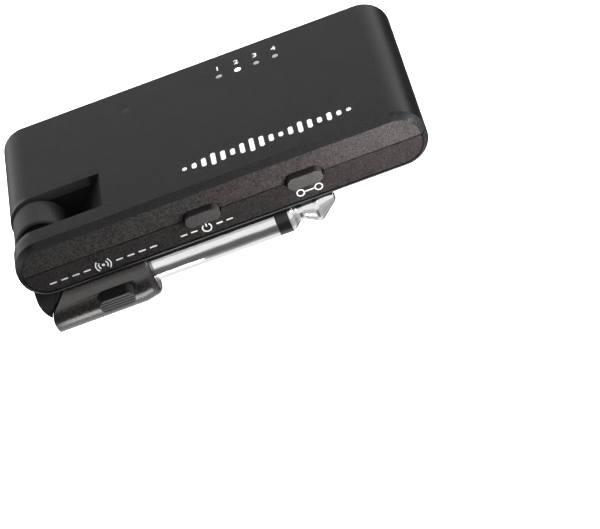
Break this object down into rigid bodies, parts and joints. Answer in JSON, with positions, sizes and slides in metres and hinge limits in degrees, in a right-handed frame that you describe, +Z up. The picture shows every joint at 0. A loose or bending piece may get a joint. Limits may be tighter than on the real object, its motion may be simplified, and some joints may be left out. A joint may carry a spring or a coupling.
{
  "type": "wireless guitar transmitter",
  "caption": "Flat rounded radio case that folds on a hinged arm carrying a 6.35 mm phone plug, with two push buttons, a row of lights and a fold lock.",
  "frame": {"origin": "on the plug's axis at its shoulder, where the sleeve leaves the housing and a jack's face stops", "axes": "+X along the plug to its tip, +Z up to the case, -Y the side with the buttons"},
  "size_m": [0.068, 0.039, 0.0218],
  "materials": {
    "black_cover": "fine satin grain",
    "bronze_chassis": "metallic bronze grey with a coarse sparkle",
    "housing_bronze": "metallic bronze grey, satin",
    "black_barrel": "satin",
    "black_core": "satin",
    "button_bronze": "satin",
    "lock_black": "satin",
    "lock_grey": "plain",
    "plug_metal": "polished",
    "plug_black": "smooth",
    "pin_steel": "turned",
    "bush_metal": "turned",
    "wire_red": "smooth",
    "pipe_clear": "frosted",
    "chip_white": "smooth",
    "blank_black": "satin",
    "board_green": "solder mask",
    "switch_black": "plain",
    "can_steel": "stamped",
    "chip_black": "plain",
    "antenna_white": "ceramic",
    "cell_foil": "foil pouch",
    "foam_grey": "foam"
  },
  "bodies": {
    "plug_arm": {"plug_sleeve": "plug_metal", "plug_insulator": "plug_black", "plug_inner_tube": "plug_black", "plug_tip": "plug_metal", "tip_lug": "bush_metal", "sleeve_lug": "bush_metal", "plug_wire": "wire_red", "plug_housing": "housing_bronze", "arm_cap": "bronze_chassis", "arm_core": "black_core", "knuckle_barrel": "black_barrel", "hinge_bush_front": "bush_metal", "hinge_bush_back": "bush_metal", "lock_spring": "pin_steel"},
    "case": {"top_cover": "black_cover", "bottom_cover": "black_cover", "upper_chassis": "bronze_chassis", "lower_chassis": "bronze_chassis", "hinge_bay": "black_core", "hinge_pin": "pin_steel", "hinge_collar": "lock_grey", "friction_washer": "pin_steel", "detent_ring": "pin_steel", "power_switch": "switch_black", "pair_switch": "switch_black", "light_pipe_1": "pipe_clear", "light_pipe_2": "pipe_clear", "light_pipe_3": "pipe_clear", "light_pipe_4": "pipe_clear", "light_chip_1": "chip_white", "light_chip_2": "chip_white", "light_chip_3": "chip_white", "light_chip_4": "chip_white", "blank_plug": "blank_black", "circuit_board": "board_green", "board_screws": "pin_steel", "charging_port": "can_steel", "port_tongue": "switch_black", "radio_shield": "can_steel", "antenna": "antenna_white", "audio_converter": "chip_black", "charge_controller": "chip_black", "processor": "chip_black", "battery": "cell_foil", "battery_pad": "foam_grey"},
    "power_key": {"power_button": "button_bronze"},
    "pair_key": {"pair_button": "button_bronze"},
    "lock_key": {"lock_button": "lock_black"},
    "lock_slide": {"lock_slider": "lock_grey"}
  },
  "joints": [
    {"name": "case_hinge", "type": "hinge", "parent": "plug_arm", "child": "case", "pos_m": [-0.01435, 0, 0.01119], "axis": [0, 1, 0], "range_deg": [-215, 0]},
    {"name": "power_press", "type": "slide", "parent": "case", "child": "power_key", "axis": [0, 1, 0], "range_m": [0, 0.0005], "stiffness_N_per_m": 900, "springref_m": -0.0005},
    {"name": "pair_press", "type": "slide", "parent": "case", "child": "pair_key", "axis": [0, 1, 0], "range_m": [0, 0.0005], "stiffness_N_per_m": 900, "springref_m": -0.0005},
    {"name": "lock_press", "type": "slide", "parent": "plug_arm", "child": "lock_key", "axis": [0, 1, 0], "range_m": [0, 0.001], "stiffness_N_per_m": 600, "springref_m": -0.0005},
    {"name": "lock_drop", "type": "slide", "parent": "plug_arm", "child": "lock_slide", "axis": [0, 0, -1], "range_m": [0, 0.0006], "deforming": ["lock_spring"]}
  ],
  "couplings": [
    {"joint": "lock_drop", "follows": "lock_press", "ratio": 0.6}
  ]
}
